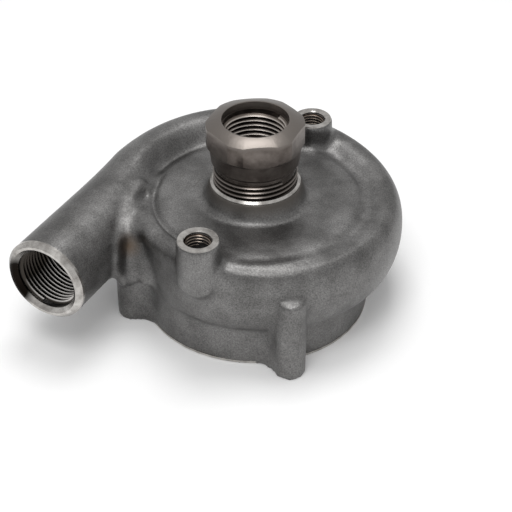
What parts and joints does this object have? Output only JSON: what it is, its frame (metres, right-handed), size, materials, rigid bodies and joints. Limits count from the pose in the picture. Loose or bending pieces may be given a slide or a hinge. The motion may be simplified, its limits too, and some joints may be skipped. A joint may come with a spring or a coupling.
{
  "type": "volute pump casing",
  "caption": "Cast volute casing of a centrifugal pump with a side outlet pipe, threaded ports, fixing lugs and a screwed-in hex inlet adapter.",
  "frame": {"origin": "centre of the four fixing holes on the base face, where the pump axis meets it", "axes": "+Z along the pump axis towards the inlet; the outlet pipe points along -Y on the -X side"},
  "size_m": [0.165, 0.1787, 0.1087],
  "materials": {
    "cast_stainless": "blasted cast surface, satin",
    "turned_stainless": "turned and milled, semi-bright"
  },
  "bodies": {
    "root": {"volute_casing": "cast_stainless", "inlet_hex_adapter": "turned_stainless"}
  },
  "joints": []
}
